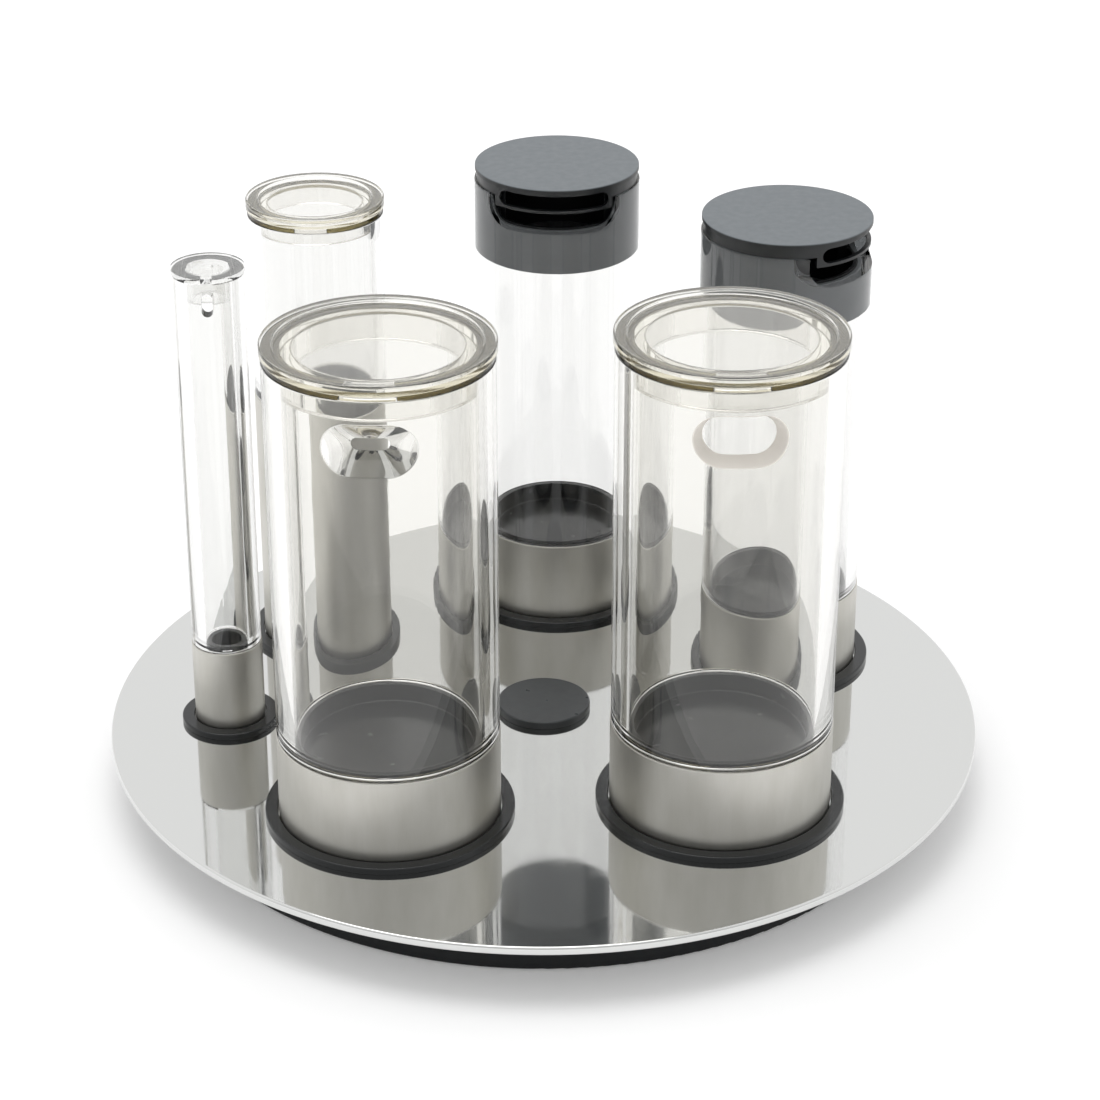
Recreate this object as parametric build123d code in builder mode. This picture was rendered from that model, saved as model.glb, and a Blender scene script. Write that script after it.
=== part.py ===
from build123d import *
import math
import os

os.makedirs("parts", exist_ok=True)

# A round turntable carries six upright containers: two wide jars, a canister, a slim tube and two
# shakers. Z is up, the bench is Z = 0, the turntable's axis is the Z axis and -Y is the front.

# ---- driving dimensions, millimetres and degrees ----
table_z = 14.8          # the plate's upper face above the bench
plate_d = 206.0
plate_t = 2.0
base_d = 180.0
base_gap = 0.8          # air between the base's rim and the plate
base_wall = 2.5
base_floor_t = 2.0
foot_d = 14.0
foot_h = 0.4            # how far a foot stands out of the base
foot_pocket = 0.8
foot_count = 6
foot_circle_r = 79.0
rib_count = 8
rib_t = 2.0
rib_drop = 0.4          # a rib's top below the race's seat
race_seat_lip = 1.0     # how far the seat is wider than the race on each side
rim_round = 0.5         # roundings of the base, the plate and the cap
base_round = 0.5
plate_round = 0.6
foot_round = 0.4
foot_play = 0.1

race_r = 63.0           # ball circle
race_half_w = 6.0
race_floor_t = 1.35     # steel left under the groove
ball_d = 5.0
ball_count = 12
ball_play = 0.05
groove_depth = 0.95
cage_half_w = 4.0
cage_t = 1.8
cage_play = 0.1
race_edge = 0.3

screw_head_d = 11.0
screw_head_h = 1.0
screw_shank_d = 6.0
screw_thread_d = 4.8
screw_key = 3.0         # across the flats of its hexagon socket
screw_key_depth = 1.6
screw_edge = 0.25
thread_gap = 0.2        # under the thread's end
bush_play = 0.05
bush_lift = 0.1         # air between the boss and the bush
bush_d = 12.0
bush_flange_d = 22.0
bush_flange_t = 1.5
boss_d = 20.0
boss_top = 8.0
centre_cap_d = 22.2
centre_cap_h = 1.85
head_room_r = 1.5       # space for the screw's head under the cap
head_room_h = 0.3

outer_reach = 86.2      # every holder ring touches a circle of this radius from inside
holder_w = 3.15         # from a cup's side to the ring's outer edge
holder_gap = 0.25       # from a cup's side to the ring's inner edge
holder_h = 1.5
holder_round = 0.35

cup_lap = 0.15          # a steel cup is this much wider than its tube, on the radius
cup_wall = 0.9
cup_foot_round = 0.8
cup_rim_round = 0.25
cup_h = 21.2            # top of the short cups above the plate
seat_gap = 0.05         # thin air gap under a cup and under a tube
insert_floor = 17.6     # inside floor above the plate
insert_floor_t = 2.0
insert_wall = 2.0
insert_rim_h = 0.8      # spigot that centres the tube's bore
insert_rim_w = 1.3
tube_top = 111.6        # top of every clear tube above the plate
tube_edge = 0.3
lid_top = 115.2         # top of every lid and cap above the plate

jar_d, jar_bore = 50.0, 42.0
canister_d, canister_bore = 32.0, 26.0
slim_d, slim_bore = 16.2, 9.8
shaker_d, shaker_bore = 40.0, 35.0

hole_z = 100.5          # middle of a jar's pour hole above the plate
fine_hole = (20.2, 12.0, 8.0, 2.6)      # left jar: width and height outside, then inside the wall
wide_hole = (19.8, 11.6, 15.4, 8.8)     # right jar
hole_reach_in = 0.3     # the cutter runs past both faces of the wall
hole_reach_out = 1.0

jar_skirt_z, jar_skirt_bore = 106.0, 37.3
canister_skirt_z, canister_skirt_bore = 108.0, 22.8
lid_lap = 0.3           # a lid's flange is this much wider than its tube, on the radius
flange_t = 2.4
recess_inset = 2.9      # from the flange's edge to the shallow recess in its top
recess_depth = 0.8
skirt_gap = 0.1         # between a lid's skirt and the tube's bore
lid_round = 0.35
rim_match = 0.1         # tolerance for picking the flange's edges by their length
lid_web = 0.2           # the lid's hollow stops this much above the flange's underside
key_bite = 0.3          # how far the key runs into the flange and the skirt
key_half_angle = 13.5   # the flange's key fills the break in its seal
seal_half_break = 14.2
seal_inset = 0.5

sleeve_top = 66.0       # the canister's cup is a tall sleeve
slim_flange_t = 1.1
slim_slot_w = 2.5
slim_slot_z = 106.2
slim_slot_top = 111.6
slim_lap = 0.2
slim_plug_rise = 2.0    # the cap's plug starts this much above the slot's foot
slim_plug_wall = 1.4
slim_hollow_rise = 1.0

notch_half_w = 14.9     # pouring notch in a shaker's tube
notch_z = 104.1
notch_corner = 4.6
liner_wall = 0.85
liner_z = 93.5
collar_d = 39.0
collar_top = 114.05
window_z = 109.9
window_top = 113.5
window_half_w = 13.0
window_corner = 1.7
tongue_z = 109.2
tongue_half_angle = 46.0
tongue_t = 1.1
spout_wall = 0.8
spout_rise = 0.5        # the spigot's end above the liner's end
collar_gap = 0.1        # thin air gap under the collar and over it
mouth_rise = 0.5        # the spigot's mouth starts this much above the notch
mouth_reach = 0.4
tongue_bite = 0.3       # how far the tongue runs into the collar
fit_play = 0.08         # running clearance of spout and cap
cap_d = 39.7
cap_wall = 1.2
cap_mouth_z = 97.0
cap_mouth_inset = 1.2
cap_mouth_corner = 2.0
cap_rise = 1.0          # the skirt's end above the liner's end
cap_round = 0.25
liner_edge = 0.15
liner_play = 0.1        # between the liner and the tube's bore

# ---- worked-out sizes ----
slim_top = lid_top - slim_flange_t - seat_gap
base_top = table_z - plate_t - base_gap
plate_under = table_z - plate_t
ball_z = plate_under - race_floor_t - ball_play - ball_d / 2
lower_race_z = ball_z - ball_d / 2 - ball_play - race_floor_t
tube_bottom = cup_h + seat_gap


def deck_at(tube_d, bearing, facing):
    """Plane on the plate at a container's centre, its X axis along the facing direction."""
    reach = outer_reach - tube_d / 2 - cup_lap - holder_w
    x = reach * math.cos(math.radians(bearing))
    y = reach * math.sin(math.radians(bearing))
    face = math.radians(facing)
    return Plane(origin=(x, y, table_z), x_dir=(math.cos(face), math.sin(face), 0), z_dir=(0, 0, 1))


def axis_of(deck):
    """The container's upright axis."""
    return Axis(deck.origin, deck.z_dir)


def front_of(deck):
    """Upright plane through the container's axis that looks out along its facing direction."""
    return Plane(origin=deck.origin, x_dir=deck.y_dir, z_dir=deck.x_dir)


def section(deck, *points):
    """Closed half section of (radius, height) points in an upright plane through the axis."""
    with BuildSketch(Plane(origin=deck.origin, x_dir=deck.x_dir, z_dir=-deck.y_dir)) as half:
        with BuildLine():
            Polyline(*points, close=True)
        make_face()
    return half.sketch


bench = Plane.XY

# ---- the base: a black moulded dish that stays still ----
with BuildPart() as base_housing:
    with BuildSketch(bench.offset(foot_h)):
        Circle(base_d / 2)
    extrude(amount=base_top - foot_h)
    fillet(base_housing.edges().group_by(Axis.Z)[0], radius=base_round)
    with BuildSketch(bench.offset(foot_h + base_floor_t)):
        Circle(base_d / 2 - base_wall)
    extrude(amount=base_top, mode=Mode.SUBTRACT)
    fillet(base_housing.edges().group_by(Axis.Z)[-1], radius=rim_round)
    with BuildSketch(bench.offset(foot_h + base_floor_t)):
        Circle(race_r + race_half_w + race_seat_lip)
        Circle(race_r - race_half_w - race_seat_lip, mode=Mode.SUBTRACT)
    extrude(amount=lower_race_z - foot_h - base_floor_t)
    with BuildSketch(bench.offset(foot_h + base_floor_t)):
        with PolarLocations((base_d - base_wall) / 4, rib_count):
            Rectangle(base_d / 2 - base_wall, rib_t)
    extrude(amount=lower_race_z - foot_h - base_floor_t - rib_drop)
    with BuildSketch(bench.offset(foot_h)):
        Circle(boss_d / 2)
    extrude(amount=boss_top - foot_h)
    with BuildSketch(bench.offset(foot_h + base_floor_t)):
        Circle(screw_thread_d / 2)
    extrude(amount=boss_top, mode=Mode.SUBTRACT)
    with BuildSketch(bench.offset(foot_h)):
        with PolarLocations(foot_circle_r, foot_count):
            Circle(foot_d / 2 + foot_play)
    extrude(amount=foot_pocket, mode=Mode.SUBTRACT)
base_housing.part.label = "base_housing"
export_step(base_housing.part, "parts/base_housing.step")

with BuildPart() as rubber_feet:
    with BuildSketch(bench):
        with PolarLocations(foot_circle_r, foot_count):
            Circle(foot_d / 2)
    extrude(amount=foot_h + foot_pocket)
    fillet(rubber_feet.edges().group_by(Axis.Z)[0], radius=foot_round)
rubber_feet.part.label = "rubber_feet"
export_step(rubber_feet.part, "parts/rubber_feet.step")


# ---- the thrust bearing: two pressed races, a cage and a ring of balls ----
def make_race(name, low_z, groove_side):
    """Flat steel ring with a round groove on its upper (+1) or lower (-1) face."""
    with BuildPart() as race:
        with BuildSketch(bench.offset(low_z)):
            Circle(race_r + race_half_w)
            Circle(race_r - race_half_w, mode=Mode.SUBTRACT)
        extrude(amount=race_floor_t + groove_depth)
        with BuildSketch(Plane.XZ):
            with Locations((race_r, ball_z)):
                Circle(ball_d / 2 + ball_play)
        revolve(axis=Axis.Z, mode=Mode.SUBTRACT)
        chamfer(race.edges().group_by(Axis.Z)[0 if groove_side > 0 else -1], length=race_edge)
    race.part.label = name
    export_step(race.part, f"parts/{name}.step")


make_race("lower_race", lower_race_z, 1)
make_race("upper_race", plate_under - race_floor_t - groove_depth, -1)

with BuildPart() as ball_cage:
    with BuildSketch(bench.offset(ball_z - cage_t / 2)):
        Circle(race_r + cage_half_w)
        Circle(race_r - cage_half_w, mode=Mode.SUBTRACT)
        with PolarLocations(race_r, ball_count):
            Circle(ball_d / 2 + cage_play, mode=Mode.SUBTRACT)
    extrude(amount=cage_t)
ball_cage.part.label = "ball_cage"
export_step(ball_cage.part, "parts/ball_cage.step")

with BuildPart() as bearing_balls:
    with Locations((0, 0, ball_z)):
        with PolarLocations(race_r, ball_count):
            Sphere(ball_d / 2)
bearing_balls.part.label = "bearing_balls"
export_step(bearing_balls.part, "parts/bearing_balls.step")

# ---- the pivot: a shoulder screw in the base's boss, with a nylon bush turning on it ----
with BuildPart() as pivot_screw:
    with BuildSketch(bench.offset(foot_h + base_floor_t + thread_gap)):
        Circle(screw_thread_d / 2)
    extrude(amount=boss_top - foot_h - base_floor_t - thread_gap)
    with BuildSketch(bench.offset(boss_top)):
        Circle(screw_shank_d / 2)
    extrude(amount=table_z + seat_gap - boss_top)
    with BuildSketch(bench.offset(table_z + seat_gap)):
        Circle(screw_head_d / 2)
    extrude(amount=screw_head_h)
    chamfer(pivot_screw.edges().group_by(Axis.Z)[-1], length=screw_edge)
    with BuildSketch(bench.offset(table_z + seat_gap + screw_head_h)):
        RegularPolygon(screw_key / 2, 6, major_radius=False)
    extrude(amount=-screw_key_depth, mode=Mode.SUBTRACT)
pivot_screw.part.label = "pivot_screw"
export_step(pivot_screw.part, "parts/pivot_screw.step")

with BuildPart() as pivot_bush:
    with BuildSketch(bench.offset(boss_top + bush_lift)):
        Circle(bush_d / 2)
    extrude(amount=table_z - boss_top - bush_lift)
    with BuildSketch(bench.offset(plate_under - bush_flange_t)):
        Circle(bush_flange_d / 2)
    extrude(amount=bush_flange_t)
    with BuildSketch(bench.offset(boss_top)):
        Circle(screw_shank_d / 2 + bush_play)
    extrude(amount=table_z, mode=Mode.SUBTRACT)
pivot_bush.part.label = "pivot_bush"
export_step(pivot_bush.part, "parts/pivot_bush.step")

# ---- the turning plate and the cap over its pivot ----
with BuildPart() as plate:
    with BuildSketch(bench.offset(plate_under)):
        Circle(plate_d / 2)
    extrude(amount=plate_t)
    fillet(plate.edges().group_by(Axis.Z)[-1], radius=plate_round)
    fillet(plate.edges().group_by(Axis.Z)[0], radius=rim_round)
    with BuildSketch(bench.offset(plate_under)):
        Circle(bush_d / 2)
    extrude(amount=plate_t, mode=Mode.SUBTRACT)
plate.part.label = "plate"
export_step(plate.part, "parts/plate.step")

with BuildPart() as centre_cap:
    with BuildSketch(bench.offset(table_z)):
        Circle(centre_cap_d / 2)
    extrude(amount=centre_cap_h)
    fillet(centre_cap.edges().group_by(Axis.Z)[-1], radius=rim_round)
    with BuildSketch(bench.offset(table_z)):
        Circle(screw_head_d / 2 + head_room_r)
    extrude(amount=screw_head_h + head_room_h, mode=Mode.SUBTRACT)
centre_cap.part.label = "centre_cap"
export_step(centre_cap.part, "parts/centre_cap.step")


# ---- pieces that every container has ----
def make_holder(name, deck, tube_d):
    """Black ring fixed on the plate, which keeps one container in its place."""
    with BuildPart() as holder:
        with BuildSketch(deck):
            Circle(tube_d / 2 + cup_lap + holder_w)
            Circle(tube_d / 2 + cup_lap + holder_gap, mode=Mode.SUBTRACT)
        extrude(amount=holder_h)
        fillet(holder.edges().group_by(Axis.Z)[-1], radius=holder_round)
    holder.part.label = name
    export_step(holder.part, f"parts/{name}.step")


def make_cup(name, deck, tube_d, height):
    """Drawn steel cup, open at the top, around the container's foot."""
    outer_r = tube_d / 2 + cup_lap
    with BuildPart() as cup:
        with BuildSketch(deck.offset(seat_gap)):
            Circle(outer_r)
        extrude(amount=height - seat_gap)
        fillet(cup.edges().group_by(Axis.Z)[0], radius=cup_foot_round)
        with BuildSketch(deck.offset(seat_gap + cup_wall)):
            Circle(outer_r - cup_wall)
        extrude(amount=height, mode=Mode.SUBTRACT)
        fillet(cup.edges().group_by(Axis.Z)[-1], radius=cup_rim_round)
    cup.part.label = name
    export_step(cup.part, f"parts/{name}.step")


def make_insert(name, deck, tube_d, bore_d):
    """Black moulding inside the cup: a floor, a skirt down to the cup and a spigot in the bore."""
    outer_r = tube_d / 2 + cup_lap - cup_wall
    spigot_r = bore_d / 2 - fit_play
    rim_r = spigot_r - insert_rim_w
    foot_z = seat_gap + cup_wall
    under_z = insert_floor - insert_floor_t
    with BuildPart() as insert:
        revolve(
            section(
                deck,
                (0, insert_floor),
                (rim_r, insert_floor),
                (rim_r, cup_h + insert_rim_h),
                (spigot_r, cup_h + insert_rim_h),
                (spigot_r, cup_h),
                (outer_r, cup_h),
                (outer_r, foot_z),
                (outer_r - insert_wall, foot_z),
                (outer_r - insert_wall, under_z),
                (0, under_z),
            ),
            axis=axis_of(deck),
        )
    insert.part.label = name
    export_step(insert.part, f"parts/{name}.step")


def make_lid(name, deck, tube_d, bore_d, skirt_z, skirt_bore):
    """Clear stopper: flange, shallow top recess, hollow skirt and a key under the flange's front."""
    flange_r = tube_d / 2 + lid_lap
    recess_r = flange_r - recess_inset
    recess_z = lid_top - recess_depth
    flange_z = lid_top - flange_t
    skirt_r = bore_d / 2 - skirt_gap
    with BuildPart() as lid:
        revolve(
            section(
                deck,
                (0, recess_z),
                (recess_r, recess_z),
                (recess_r, lid_top),
                (flange_r, lid_top),
                (flange_r, flange_z),
                (skirt_r, flange_z),
                (skirt_r, skirt_z),
                (skirt_bore / 2, skirt_z),
                (skirt_bore / 2, flange_z + lid_web),
                (0, flange_z + lid_web),
            ),
            axis=axis_of(deck),
        )
        rims = lid.edges().filter_by(lambda e: abs(e.length - 2 * math.pi * flange_r) < rim_match)
        fillet(rims, radius=lid_round)
        with BuildSketch(Plane(origin=deck.origin, x_dir=deck.x_dir, z_dir=-deck.y_dir)):
            with BuildLine():
                Polyline(
                    (skirt_r - key_bite, flange_z + key_bite),
                    (flange_r - seal_inset, flange_z + key_bite),
                    (flange_r - seal_inset, tube_top + seat_gap),
                    (skirt_r - key_bite, tube_top + seat_gap),
                    close=True,
                )
            make_face()
        revolve(axis=axis_of(deck), revolution_arc=key_half_angle)
        mirror(about=Plane(origin=deck.origin, x_dir=deck.x_dir, z_dir=-deck.y_dir))
    lid.part.label = name
    export_step(lid.part, f"parts/{name}.step")


def make_seal(name, deck, tube_d, bore_d):
    """Soft ring under a lid's flange, broken at the front where the flange's key sits."""
    skirt_r = bore_d / 2 - skirt_gap
    flange_r = tube_d / 2 + lid_lap
    with BuildPart() as seal:
        with BuildSketch(deck.offset(tube_top + seat_gap)):
            Circle(flange_r - seal_inset)
            Circle(skirt_r, mode=Mode.SUBTRACT)
            with BuildLine():
                far = 2 * flange_r
                gap_angle = math.radians(seal_half_break)
                edge = (far * math.cos(gap_angle), far * math.sin(gap_angle))
                Polyline((0, 0), edge, (edge[0], -edge[1]), close=True)
            make_face(mode=Mode.SUBTRACT)
        extrude(amount=lid_top - flange_t - tube_top - 2 * seat_gap)
    seal.part.label = name
    export_step(seal.part, f"parts/{name}.step")


# ---- the two wide jars, each with a countersunk pour hole at the front ----
def make_jar_tube(name, deck, hole):
    """Clear tube with an oblong hole through its front wall, countersunk from outside."""
    out_w, out_h, in_w, in_h = hole
    out_depth = math.sqrt((jar_d / 2) ** 2 - (out_w / 2) ** 2)
    in_depth = math.sqrt((jar_bore / 2) ** 2 - (in_w / 2) ** 2)
    flare_w = (out_w - in_w) / (out_depth - in_depth)
    flare_h = (out_h - in_h) / (jar_d / 2 - jar_bore / 2)
    with BuildPart() as tube:
        with BuildSketch(deck.offset(tube_bottom)):
            Circle(jar_d / 2)
            Circle(jar_bore / 2, mode=Mode.SUBTRACT)
        extrude(amount=tube_top - tube_bottom)
        chamfer(tube.edges().filter_by(GeomType.CIRCLE), length=tube_edge)
        for depth in (in_depth - hole_reach_in, jar_d / 2 + hole_reach_out):
            width = in_w + (depth - in_depth) * flare_w
            height = in_h + (depth - jar_bore / 2) * flare_h
            with BuildSketch(front_of(deck).offset(depth)):
                with Locations((0, hole_z)):
                    SlotOverall(width, height)
        loft(mode=Mode.SUBTRACT)
    tube.part.label = name
    export_step(tube.part, f"parts/{name}.step")


jars = (("left", -126.8, -92.5, fine_hole), ("right", -46.1, -87.7, wide_hole))
for side, bearing, facing, hole in jars:
    deck = deck_at(jar_d, bearing, facing)
    make_holder(f"jar_{side}_holder", deck, jar_d)
    make_cup(f"jar_{side}_cup", deck, jar_d, cup_h)
    make_insert(f"jar_{side}_insert", deck, jar_d, jar_bore)
    make_jar_tube(f"jar_{side}_tube", deck, hole)
    make_lid(f"jar_{side}_lid", deck, jar_d, jar_bore, jar_skirt_z, jar_skirt_bore)
    make_seal(f"jar_{side}_seal", deck, jar_d, jar_bore)

# ---- the canister: a narrower tube, turned down where its tall sleeve covers it ----
canister_deck = deck_at(canister_d, 143.5, -90)
turned_r = canister_d / 2 + cup_lap - cup_wall - seat_gap
make_holder("canister_holder", canister_deck, canister_d)
make_cup("canister_cup", canister_deck, canister_d, sleeve_top)
make_insert("canister_insert", canister_deck, canister_d, canister_bore)
with BuildPart() as canister_tube:
    revolve(
        section(
            canister_deck,
            (canister_bore / 2, tube_bottom),
            (turned_r, tube_bottom),
            (turned_r, sleeve_top + seat_gap),
            (canister_d / 2, sleeve_top + seat_gap),
            (canister_d / 2, tube_top),
            (canister_bore / 2, tube_top),
        ),
        axis=axis_of(canister_deck),
    )
    chamfer(canister_tube.edges().group_by(Axis.Z)[-1], length=tube_edge)
canister_tube.part.label = "canister_tube"
export_step(canister_tube.part, "parts/canister_tube.step")
make_lid("canister_lid", canister_deck, canister_d, canister_bore, canister_skirt_z, canister_skirt_bore)
make_seal("canister_seal", canister_deck, canister_d, canister_bore)

# ---- the slim tube, with a closed slot near its top and a groove in the cap that points to it ----
slim_deck = deck_at(slim_d, 183.7, -87)
make_holder("slim_holder", slim_deck, slim_d)
make_cup("slim_cup", slim_deck, slim_d, cup_h)
make_insert("slim_insert", slim_deck, slim_d, slim_bore)
with BuildPart() as slim_tube:
    with BuildSketch(slim_deck.offset(tube_bottom)):
        Circle(slim_d / 2)
        Circle(slim_bore / 2, mode=Mode.SUBTRACT)
    extrude(amount=slim_top - tube_bottom)
    chamfer(slim_tube.edges().filter_by(GeomType.CIRCLE), length=tube_edge)
    with BuildSketch(front_of(slim_deck)):
        with Locations((0, (slim_slot_z + slim_slot_top) / 2)):
            SlotOverall(slim_slot_top - slim_slot_z, slim_slot_w, rotation=90)
    extrude(amount=slim_d, mode=Mode.SUBTRACT)
slim_tube.part.label = "slim_tube"
export_step(slim_tube.part, "parts/slim_tube.step")

with BuildPart() as slim_cap:
    revolve(
        section(
            slim_deck,
            (0, lid_top),
            (slim_d / 2 + slim_lap, lid_top),
            (slim_d / 2 + slim_lap, lid_top - slim_flange_t),
            (slim_bore / 2 - skirt_gap, lid_top - slim_flange_t),
            (slim_bore / 2 - skirt_gap, slim_slot_z + slim_plug_rise),
            (slim_bore / 2 - slim_plug_wall, slim_slot_z + slim_plug_rise),
            (slim_bore / 2 - slim_plug_wall, tube_top + slim_hollow_rise),
            (0, tube_top + slim_hollow_rise),
        ),
        axis=axis_of(slim_deck),
    )
    with BuildSketch(slim_deck.offset(lid_top)):
        Circle(slim_slot_w / 2)
        with Locations((slim_d / 2, 0)):
            Rectangle(slim_d, slim_slot_w)
    extrude(amount=-slim_flange_t, mode=Mode.SUBTRACT)
slim_cap.part.label = "slim_cap"
export_step(slim_cap.part, "parts/slim_cap.step")


# ---- the two shakers: a notched tube, a black chamber in it, a windowed spout and a turning cap ----
def make_notched_tube(name, deck, outer_r, inner_r, low_z, half_w, bottom_z, edge):
    """Upright ring with the pouring notch cut into its front from the top."""
    reach = 2 * (tube_top - bottom_z) + 2 * notch_corner
    with BuildPart() as tube:
        with BuildSketch(deck.offset(low_z)):
            Circle(outer_r)
            Circle(inner_r, mode=Mode.SUBTRACT)
        extrude(amount=tube_top - low_z)
        chamfer(tube.edges().filter_by(GeomType.CIRCLE), length=edge)
        with BuildSketch(front_of(deck)):
            with Locations((0, bottom_z + reach / 2)):
                RectangleRounded(2 * half_w, reach, notch_corner)
        extrude(amount=shaker_d, mode=Mode.SUBTRACT)
    tube.part.label = name
    export_step(tube.part, f"parts/{name}.step")


def make_spout(name, deck):
    """Black collar on the rim, with a windowed tongue in the notch and a spigot in the chamber."""
    spigot_r = shaker_bore / 2 - liner_play - liner_wall - fit_play
    bore_r = spigot_r - spout_wall
    sides = Plane(origin=deck.origin, x_dir=deck.x_dir, z_dir=-deck.y_dir)
    with BuildPart() as spout:
        revolve(
            section(
                deck,
                (bore_r, liner_z + spout_rise),
                (spigot_r, liner_z + spout_rise),
                (spigot_r, tube_top + collar_gap),
                (collar_d / 2, tube_top + collar_gap),
                (collar_d / 2, collar_top),
                (bore_r, collar_top),
            ),
            axis=axis_of(deck),
        )
        with BuildSketch(front_of(deck)):
            with Locations((0, (notch_z + mouth_rise + window_top) / 2)):
                RectangleRounded(2 * window_half_w, window_top - notch_z - mouth_rise, window_corner)
        extrude(amount=spigot_r + mouth_reach, mode=Mode.SUBTRACT)
        with BuildSketch(sides):
            with BuildLine():
                Polyline(
                    (collar_d / 2 - tongue_t, tongue_z),
                    (collar_d / 2, tongue_z),
                    (collar_d / 2, tube_top + tongue_bite),
                    (collar_d / 2 - tongue_t, tube_top + tongue_bite),
                    close=True,
                )
            make_face()
        revolve(axis=axis_of(deck), revolution_arc=tongue_half_angle)
        mirror(about=sides)
        with BuildSketch(front_of(deck)):
            with Locations((0, (window_z + window_top) / 2)):
                RectangleRounded(2 * window_half_w, window_top - window_z, window_corner)
        extrude(amount=shaker_d, mode=Mode.SUBTRACT)
    spout.part.label = name
    export_step(spout.part, f"parts/{name}.step")


def make_shaker_cap(name, deck):
    """Black disc with an inner skirt that turns in the spout; a gap in the skirt lets spice out."""
    skirt_r = shaker_bore / 2 - liner_play - liner_wall - 2 * fit_play - spout_wall
    disc_z = collar_top + collar_gap
    with BuildPart() as cap:
        revolve(
            section(
                deck,
                (0, lid_top),
                (cap_d / 2, lid_top),
                (cap_d / 2, disc_z),
                (skirt_r, disc_z),
                (skirt_r, liner_z + cap_rise),
                (skirt_r - cap_wall, liner_z + cap_rise),
                (skirt_r - cap_wall, disc_z),
                (0, disc_z),
            ),
            axis=axis_of(deck),
        )
        fillet(cap.edges().group_by(Axis.Z)[-1], radius=cap_round)
        mouth_w = 2 * (window_half_w - cap_mouth_inset)
        with BuildSketch(front_of(deck)):
            with Locations((0, (cap_mouth_z + window_top) / 2)):
                RectangleRounded(mouth_w, window_top - cap_mouth_z, cap_mouth_corner)
        extrude(amount=shaker_d, mode=Mode.SUBTRACT)
    cap.part.label = name
    export_step(cap.part, f"parts/{name}.step")


for place, bearing, facing, turned in (("centre", 87.1, -94.5, 1.5), ("right", 26.0, -30.0, 2.5)):
    deck = deck_at(shaker_d, bearing, facing)
    spout_deck = deck_at(shaker_d, bearing, facing + turned)
    make_holder(f"shaker_{place}_holder", deck, shaker_d)
    make_cup(f"shaker_{place}_cup", deck, shaker_d, cup_h)
    make_insert(f"shaker_{place}_insert", deck, shaker_d, shaker_bore)
    make_notched_tube(f"shaker_{place}_tube", deck, shaker_d / 2, shaker_bore / 2, tube_bottom,
                      notch_half_w, notch_z, tube_edge)
    liner_r = shaker_bore / 2 - liner_play
    make_notched_tube(f"shaker_{place}_liner", deck, liner_r, liner_r - liner_wall, liner_z,
                      notch_half_w, notch_z, liner_edge)
    make_spout(f"shaker_{place}_spout", spout_deck)
    make_shaker_cap(f"shaker_{place}_cap", spout_deck)
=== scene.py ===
import math

import bpy
import numpy as np
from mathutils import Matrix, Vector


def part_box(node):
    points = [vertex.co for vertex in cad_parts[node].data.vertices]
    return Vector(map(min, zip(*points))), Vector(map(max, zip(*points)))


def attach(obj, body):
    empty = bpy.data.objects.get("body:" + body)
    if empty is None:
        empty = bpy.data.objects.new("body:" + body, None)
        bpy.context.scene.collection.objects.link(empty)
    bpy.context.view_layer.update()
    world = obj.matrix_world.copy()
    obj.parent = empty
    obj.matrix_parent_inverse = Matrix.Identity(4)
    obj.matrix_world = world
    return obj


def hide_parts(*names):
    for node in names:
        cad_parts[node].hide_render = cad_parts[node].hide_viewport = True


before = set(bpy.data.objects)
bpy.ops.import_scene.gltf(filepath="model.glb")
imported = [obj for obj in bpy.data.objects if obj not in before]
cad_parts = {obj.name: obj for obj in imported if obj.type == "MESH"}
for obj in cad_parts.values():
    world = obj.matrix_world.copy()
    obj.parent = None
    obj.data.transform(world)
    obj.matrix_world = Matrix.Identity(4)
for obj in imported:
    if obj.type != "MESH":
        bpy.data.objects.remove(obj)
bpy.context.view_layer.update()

# ---- base and feet ----
# A shallow black moulded dish stands still on six rubber feet under the turning plate. Its side is a
# fine-grained satin moulding, and the feet are plain moulded rubber pushed into pockets in its floor.
mm = 0.001
base_black = (0.009, 0.01, 0.011)
rubber_black = (0.014, 0.014, 0.015)


def new_finish(name, colour, **values):
    """Material with one Principled shader: each value goes on the socket of its name, _ read as a space."""
    finish = bpy.data.materials.new(name)
    finish.use_nodes = True
    shader = finish.node_tree.nodes["Principled BSDF"]
    shader.inputs["Base Color"].default_value = (*colour, 1.0)
    for socket, value in values.items():
        shader.inputs[socket.replace("_", " ")].default_value = value
    return finish


def grain(finish, size, stretch=(1, 1, 1), detail=3.0):
    """Noise in object coordinates: its cells are size across, drawn out along X, Y and Z by stretch."""
    tree = finish.node_tree
    place = tree.nodes.new("ShaderNodeTexCoord")
    scale = tree.nodes.new("ShaderNodeMapping")
    scale.inputs["Scale"].default_value = [1 / (size * s) for s in stretch]
    noise = tree.nodes.new("ShaderNodeTexNoise")
    noise.inputs["Scale"].default_value = 1.0
    noise.inputs["Detail"].default_value = detail
    tree.links.new(place.outputs["Object"], scale.inputs["Vector"])
    tree.links.new(scale.outputs["Vector"], noise.inputs["Vector"])
    return noise.outputs["Fac"]


def ranged(finish, factor, low, high, start=0.3, stop=0.7):
    """Carries a factor between start and stop onto low to high, in a straight line."""
    node = finish.node_tree.nodes.new("ShaderNodeMapRange")
    for socket, value in zip(("From Min", "From Max", "To Min", "To Max"), (start, stop, low, high)):
        node.inputs[socket].default_value = value
    finish.node_tree.links.new(factor, node.inputs["Value"])
    return node.outputs["Result"]


def drives(finish, output, socket):
    """Links an output to a socket of the finish's shader."""
    finish.node_tree.links.new(output, finish.node_tree.nodes["Principled BSDF"].inputs[socket])


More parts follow.
